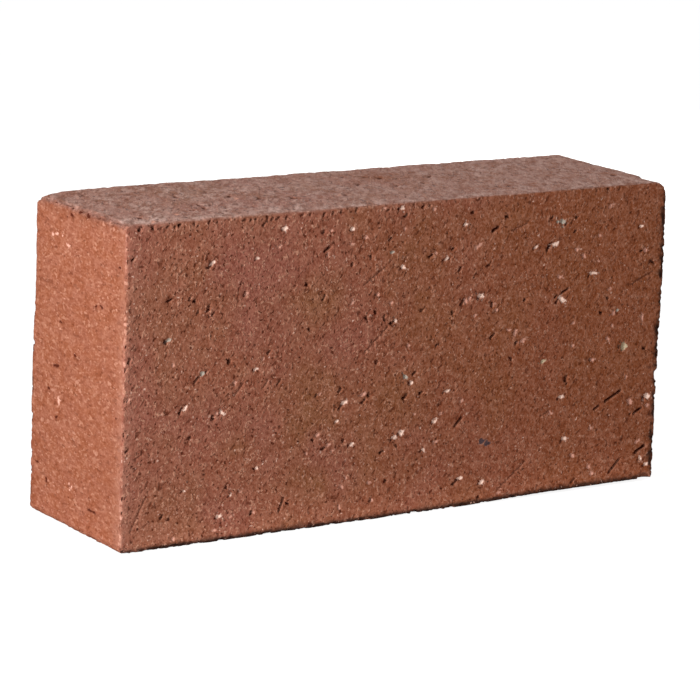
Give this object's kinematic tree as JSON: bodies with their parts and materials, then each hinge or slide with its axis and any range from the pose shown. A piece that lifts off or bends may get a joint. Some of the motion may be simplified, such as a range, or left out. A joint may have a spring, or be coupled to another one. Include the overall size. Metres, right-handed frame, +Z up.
{
  "type": "refractory brick",
  "caption": "Solid rectangular fired brick, red-brown with pale specks, with rounded corners and rubbed edges; laid flat, on edge or on end to build walls and furnace linings.",
  "frame": {"origin": "middle of the underside, the long narrow side that the brick stands on", "axes": "+X along the length towards the right end, +Y from the front bed face to the back one, +Z up"},
  "size_m": [0.23, 0.065, 0.114],
  "materials": {
    "fired_body": "rough unglazed red-brown body with pale grog specks, small pits and drag marks"
  },
  "bodies": {
    "root": {"brick": "fired_body"}
  },
  "joints": []
}
